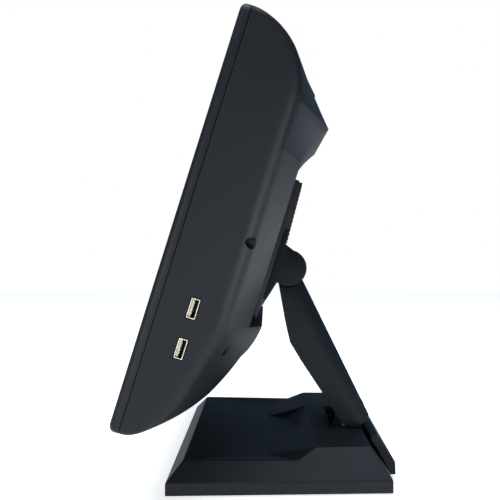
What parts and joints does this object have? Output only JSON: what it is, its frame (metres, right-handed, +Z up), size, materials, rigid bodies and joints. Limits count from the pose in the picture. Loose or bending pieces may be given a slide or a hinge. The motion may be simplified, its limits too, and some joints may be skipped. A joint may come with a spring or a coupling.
{
  "type": "POS touchscreen terminal",
  "caption": "Countertop touchscreen terminal with a rear customer display pod, tilting on a neck that tilts on a wedge base.",
  "frame": {"origin": "on the counter, under the middle of the terminal's overall box", "axes": "+Z up from the counter, the screen faces -Y, +Y is the customer's side with the display pod, +X is the side with the two USB sockets"},
  "size_m": [0.362, 0.2015, 0.3384],
  "materials": {
    "black_abs": "fine-grained moulded ABS, satin",
    "dark_trim": "moulded ABS, slightly smoother",
    "ribbed_trim": "grey moulded strip, finely ribbed",
    "smoked_window": "smoked acrylic, polished",
    "display_glass": "black-bordered cover glass",
    "tape": "black foam tape",
    "screen_module": "satin metal frame",
    "steel": "zinc-plated sheet",
    "black_steel": "fine powder coat",
    "grey_steel": "powder coat",
    "fastener": "zinc-plated",
    "bronze": "turned bronze",
    "circuit_board": "solder mask over glass-fibre board",
    "heat_sink_alloy": "extruded, clear anodised",
    "chip": "moulded package",
    "connector_black": "moulded nylon",
    "nickel_shell": "nickel-plated stamping",
    "cream_nylon": "moulded nylon",
    "gold_contact": "gold-plated",
    "rubber": "soft matte rubber",
    "lamp": "clear light pipe"
  },
  "bodies": {
    "base": {"base_shell": "black_abs", "base_plate": "steel", "rubber_feet": "rubber", "base_screws": "fastener", "base_rear_cover": "dark_trim", "foot_bracket": "grey_steel", "foot_bracket_bolts": "fastener", "foot_pin": "fastener", "foot_washers": "bronze", "foot_nut": "fastener"},
    "neck": {"neck_arm": "grey_steel", "neck_front_shell": "dark_trim", "neck_rear_cover": "dark_trim", "neck_screws": "fastener", "tilt_washers": "bronze"},
    "head": {"tilt_shaft": "fastener", "tilt_nut": "fastener", "tilt_bracket": "black_steel", "hinge_caps": "dark_trim", "bracket_cover": "ribbed_trim", "bracket_screws": "fastener", "rear_housing": "black_abs", "display_pod": "dark_trim", "pod_window": "smoked_window", "pod_display": "chip", "front_bezel": "black_abs", "touch_glass": "display_glass", "glass_tape": "tape", "lcd_panel": "screen_module", "panel_frame": "steel", "frame_screws": "fastener", "housing_screws": "fastener", "chassis_posts": "bronze", "mainboard": "circuit_board", "board_standoffs": "bronze", "board_screws": "fastener", "processor": "chip", "heat_sink": "heat_sink_alloy", "memory_module": "circuit_board", "solid_state_drive": "screen_module", "touch_controller": "circuit_board", "speaker": "chip", "io_panel": "steel", "dc_inlet": "connector_black", "lan_port": "nickel_shell", "usb_stack": "nickel_shell", "serial_ports": "connector_black", "drawer_port": "connector_black", "side_usb_board": "circuit_board", "usb_shells": "nickel_shell", "usb_tongues": "cream_nylon", "usb_contacts": "gold_contact", "button_switch": "circuit_board", "status_lamp": "lamp"},
    "power_button": {"power_button": "dark_trim"}
  },
  "joints": [
    {"name": "neck_tilt", "type": "hinge", "parent": "base", "child": "neck", "pos_m": [0, 0.073, 0.045], "axis": [-1, 0, 0], "range_deg": [-3, 20]},
    {"name": "head_tilt", "type": "hinge", "parent": "neck", "child": "head", "pos_m": [0, 0.019, 0.1625], "axis": [-1, 0, 0], "range_deg": [-10, 45]},
    {"name": "power_button", "type": "slide", "parent": "head", "child": "power_button", "axis": [1, 0, 0], "range_m": [0, 0.0012], "stiffness_N_per_m": 400}
  ]
}
